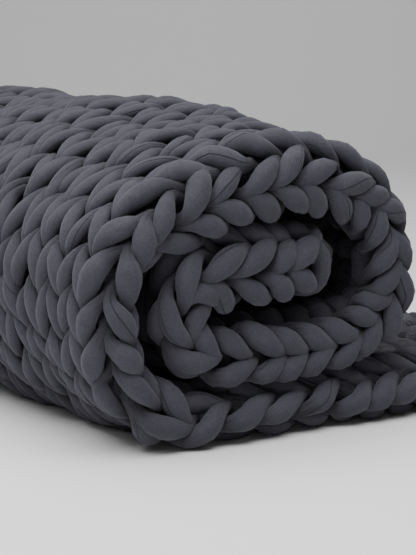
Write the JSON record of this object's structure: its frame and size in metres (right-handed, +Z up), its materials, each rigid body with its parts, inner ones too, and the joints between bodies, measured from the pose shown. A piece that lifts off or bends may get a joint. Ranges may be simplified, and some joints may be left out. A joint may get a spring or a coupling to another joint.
{
  "type": "weighted blanket",
  "caption": "Chunky hand-knit weighted blanket of thick filled-tube yarn in dark slate grey, loosely rolled up and lying on a flat surface with its outer end flat beside it.",
  "frame": {"origin": "centre of the bounding box in X and Y, on the plane the blanket rests on", "axes": "+Z up; +Y along the roll's axis and the blanket's width, from the pictured end to the far end; +X towards the free outer end of the strip, which lies flat"},
  "size_m": [0.6604, 1.02, 0.3561],
  "materials": {
    "slate_tube_yarn": "matte fine jersey"
  },
  "bodies": {
    "root": {"knitted_blanket": "slate_tube_yarn"}
  },
  "joints": []
}
